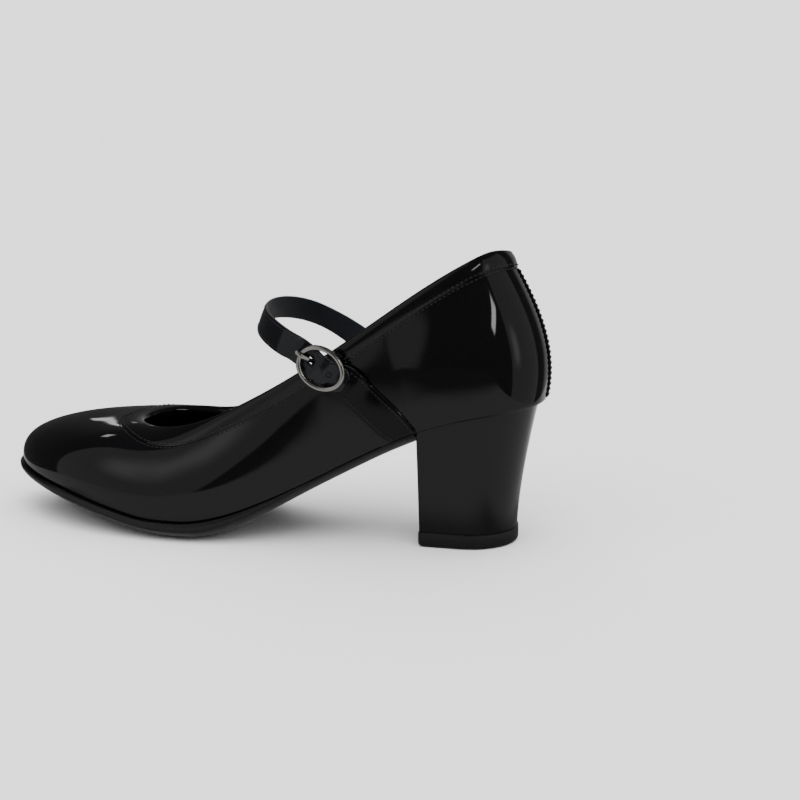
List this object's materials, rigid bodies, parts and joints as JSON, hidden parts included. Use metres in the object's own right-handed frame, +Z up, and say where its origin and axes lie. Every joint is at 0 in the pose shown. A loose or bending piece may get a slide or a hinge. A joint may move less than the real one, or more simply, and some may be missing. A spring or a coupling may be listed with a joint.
{
  "type": "tap shoe",
  "caption": "Left patent strap shoe with a rounded closed toe, block heel, leather-look sole and an instep strap held by a round buckle.",
  "frame": {"origin": "centre of the top lift's ground face, which is on the floor", "axes": "+X to the toe, +Y to the outer side of a left foot, +Z up"},
  "size_m": [0.2427, 0.0796, 0.1263],
  "materials": {
    "patent": "black patent, mirror gloss",
    "lining": "dark grey, matte",
    "stiffener": "stiffened fabric, matte",
    "board": "pressed fibre board, matte",
    "sole": "black, satin",
    "heel_core": "moulded, matte",
    "lift": "black, satin",
    "steel": "bright drawn steel",
    "buckle": "dark nickel, brushed"
  },
  "bodies": {
    "shoe": {"upper": "patent", "topline_binding": "patent", "back_seam_strip": "patent", "vamp_lining": "lining", "quarter_lining": "lining", "toe_puff": "stiffener", "heel_counter": "stiffener", "insole_board": "board", "insole_sock": "lining", "bottom_filler": "board", "shank": "steel", "shank_rivet_1": "steel", "shank_rivet_2": "steel", "outsole": "sole", "heel_core": "heel_core", "heel_wrap": "patent", "heel_breast_cover": "patent", "top_lift": "lift", "heel_screw": "steel", "heel_nail_1": "steel", "heel_nail_2": "steel", "heel_nail_3": "steel", "heel_nail_4": "steel", "lift_pin_1": "steel", "lift_pin_2": "steel", "buckle_strap": "patent", "instep_strap": "patent", "buckle_frame": "buckle"},
    "prong": {"buckle_prong": "buckle"}
  },
  "joints": [
    {"name": "prong_hinge", "type": "hinge", "parent": "shoe", "child": "prong", "pos_m": [0.0588, 0.0318, 0.0784], "axis": [-0.5692, 0, 0.8222], "range_deg": [0, 10]}
  ]
}
